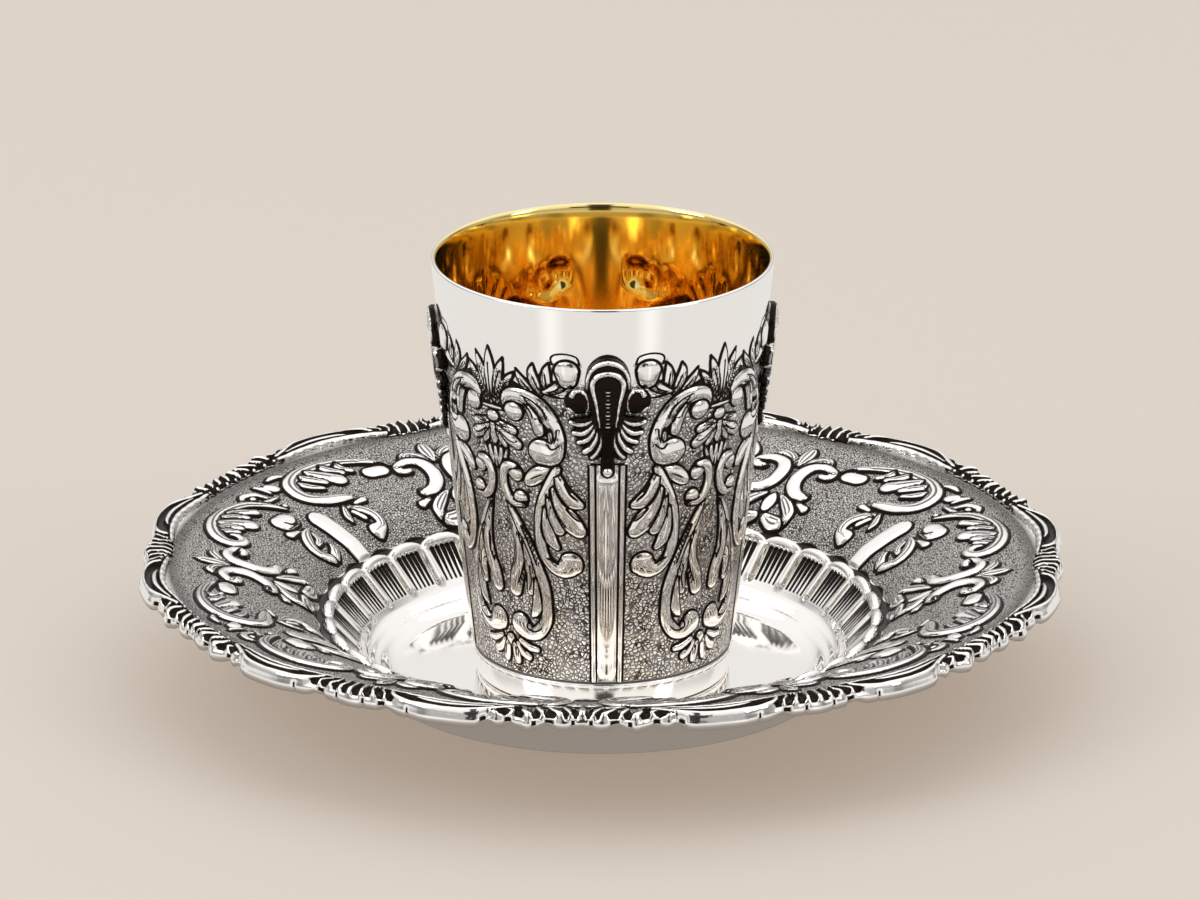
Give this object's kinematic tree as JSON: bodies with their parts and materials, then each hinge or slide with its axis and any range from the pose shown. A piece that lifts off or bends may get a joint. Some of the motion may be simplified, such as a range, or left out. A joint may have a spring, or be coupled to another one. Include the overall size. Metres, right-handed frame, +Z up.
{
  "type": "kiddush cup",
  "caption": "Tall tapered silver kiddush cup with chased scrollwork, pilasters and cast cartouches, standing on its matching chased saucer with a cast border.",
  "frame": {"origin": "middle of the saucer's foot, on the surface that the set stands on", "axes": "+Z up along the axis of the cup and the saucer; -Y towards the cup's front pilaster"},
  "size_m": [0.1712, 0.1702, 0.0819],
  "materials": {
    "silver": "polished silver, oxidised in the chasing, gilt inside",
    "chased_silver": "chased silver, matted ground, polished well",
    "blackened_silver": "cast silver, oxidised nearly black with bright ridges",
    "cast_silver": "cast silver, bright with dark recesses"
  },
  "bodies": {
    "root": {"cup_body": "silver", "cup_cartouche_front": "blackened_silver", "cup_cartouche_right": "blackened_silver", "cup_cartouche_back": "blackened_silver", "cup_cartouche_left": "blackened_silver", "saucer_dish": "chased_silver", "saucer_border": "cast_silver"}
  },
  "joints": []
}
